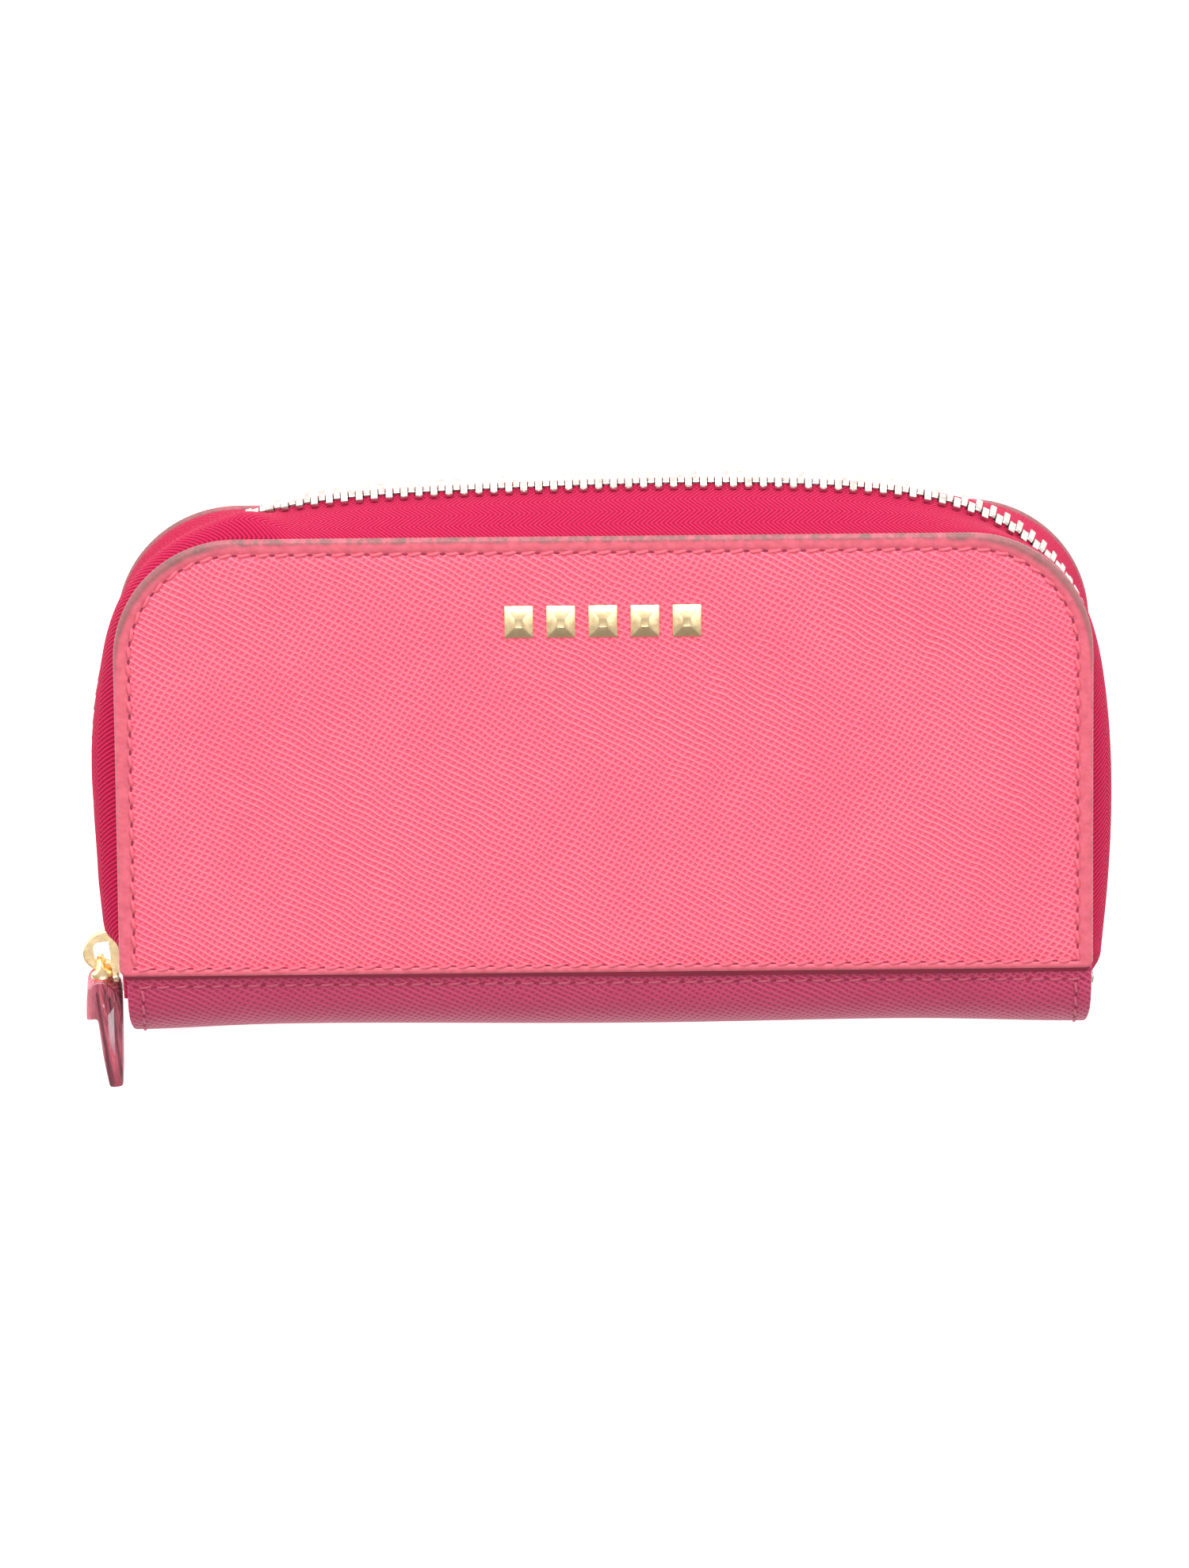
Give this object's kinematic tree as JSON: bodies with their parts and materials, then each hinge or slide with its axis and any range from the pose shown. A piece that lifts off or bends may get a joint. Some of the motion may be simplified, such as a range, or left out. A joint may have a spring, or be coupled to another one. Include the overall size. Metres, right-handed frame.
{
  "type": "zip-around wallet",
  "caption": "Zip-around continental wallet in cross-hatched pink leather, shut, with a leather zip pull, card slots, a coin pocket and pleated gussets inside.",
  "frame": {"origin": "middle of the rear cover's outer face, on which the shut wallet lies", "axes": "+X along the spine towards the end away from the zip pull, +Y from the spine towards the zip's top run, +Z out through the front cover"},
  "size_m": [0.1927, 0.1183, 0.0272],
  "materials": {
    "cover_leather": "fine cross-hatched, satin, pink",
    "tab_leather": "cross-hatched with glossy painted edges",
    "inner_leather": "smooth matt crimson",
    "lining": "fine woven crimson",
    "board": "plain grey-brown board",
    "zip_tape": "herringbone-woven crimson",
    "zip_metal": "pale gold plated, polished",
    "gold_hardware": "pale gold plated, polished"
  },
  "bodies": {
    "rear_half": {"rear_cover_leather": "cover_leather", "rear_cover_board": "board", "rear_cover_lining": "lining", "rear_zip_tape": "zip_tape", "zip_teeth_rear": "zip_metal", "zip_teeth_rear_left_run": "zip_metal", "rear_zip_stops": "zip_metal", "rear_card_backing": "inner_leather", "rear_card_slot_1": "inner_leather", "rear_card_slot_2": "inner_leather", "rear_card_slot_3": "inner_leather", "spine_leather": "cover_leather", "spine_lining": "lining", "gusset_left": "inner_leather", "gusset_right": "inner_leather"},
    "front_cover": {"front_cover_leather": "cover_leather", "front_cover_board": "board", "front_cover_lining": "lining", "emblem_studs": "gold_hardware", "front_zip_tape": "zip_tape", "zip_teeth_front": "zip_metal", "zip_teeth_front_left_run": "zip_metal", "front_zip_stops": "zip_metal", "front_card_backing": "inner_leather", "front_card_slot_1": "inner_leather", "front_card_slot_2": "inner_leather", "front_card_slot_3": "inner_leather"},
    "coin_pocket": {"coin_pocket_front_wall": "inner_leather", "coin_pocket_rear_wall": "inner_leather", "coin_pocket_band": "inner_leather", "coin_zip_tapes": "zip_tape", "coin_zip_teeth": "zip_metal"},
    "coin_slider": {"coin_slider_body": "gold_hardware", "coin_slider_bridge": "gold_hardware"},
    "coin_puller": {"coin_pull": "gold_hardware"},
    "zip_slider": {"slider_body": "gold_hardware", "slider_bridge": "gold_hardware"},
    "pull_link": {"pull_ring": "gold_hardware"},
    "pull_strap": {"pull_tab": "tab_leather"}
  },
  "joints": [
    {"name": "cover_open", "type": "hinge", "parent": "rear_half", "child": "front_cover", "pos_m": [0, -0.0485, 0.013], "axis": [1, 0, 0], "range_deg": [0, 50], "deforming": ["spine_leather", "spine_lining", "gusset_left", "gusset_right"]},
    {"name": "pocket_fan", "type": "hinge", "parent": "rear_half", "child": "coin_pocket", "pos_m": [0, -0.0485, 0.013], "axis": [1, 0, 0], "range_deg": [0, 25], "deforming": ["gusset_left", "gusset_right"]},
    {"name": "coin_zip_slide", "type": "slide", "parent": "coin_pocket", "child": "coin_slider", "axis": [1, 0, 0], "range_m": [0, 0.122], "deforming": ["coin_zip_teeth"]},
    {"name": "coin_pull_swing", "type": "hinge", "parent": "coin_slider", "child": "coin_puller", "pos_m": [-0.06116, 0.02929, 0.013], "axis": [0, 0, 1], "range_deg": [0, 150]},
    {"name": "zip_slide", "type": "slide", "parent": "rear_half", "child": "zip_slider", "axis": [-0.1165, 0.9932, 0], "range_m": [0, 0.025], "deforming": ["zip_teeth_front_left_run", "zip_teeth_rear_left_run"]},
    {"name": "pull_link_swing", "type": "hinge", "parent": "zip_slider", "child": "pull_link", "pos_m": [-0.09497, -0.04304, 0.013], "axis": [-0.0122, 0.1038, -0.9945], "range_deg": [0, 90]},
    {"name": "pull_strap_swing", "type": "hinge", "parent": "pull_link", "child": "pull_strap", "pos_m": [-0.09423, -0.04936, 0.01233], "axis": [-0.0122, 0.1038, -0.9945], "range_deg": [0, 45]}
  ],
  "couplings": [
    {"joint": "pocket_fan", "follows": "cover_open", "ratio": 0.5}
  ]
}
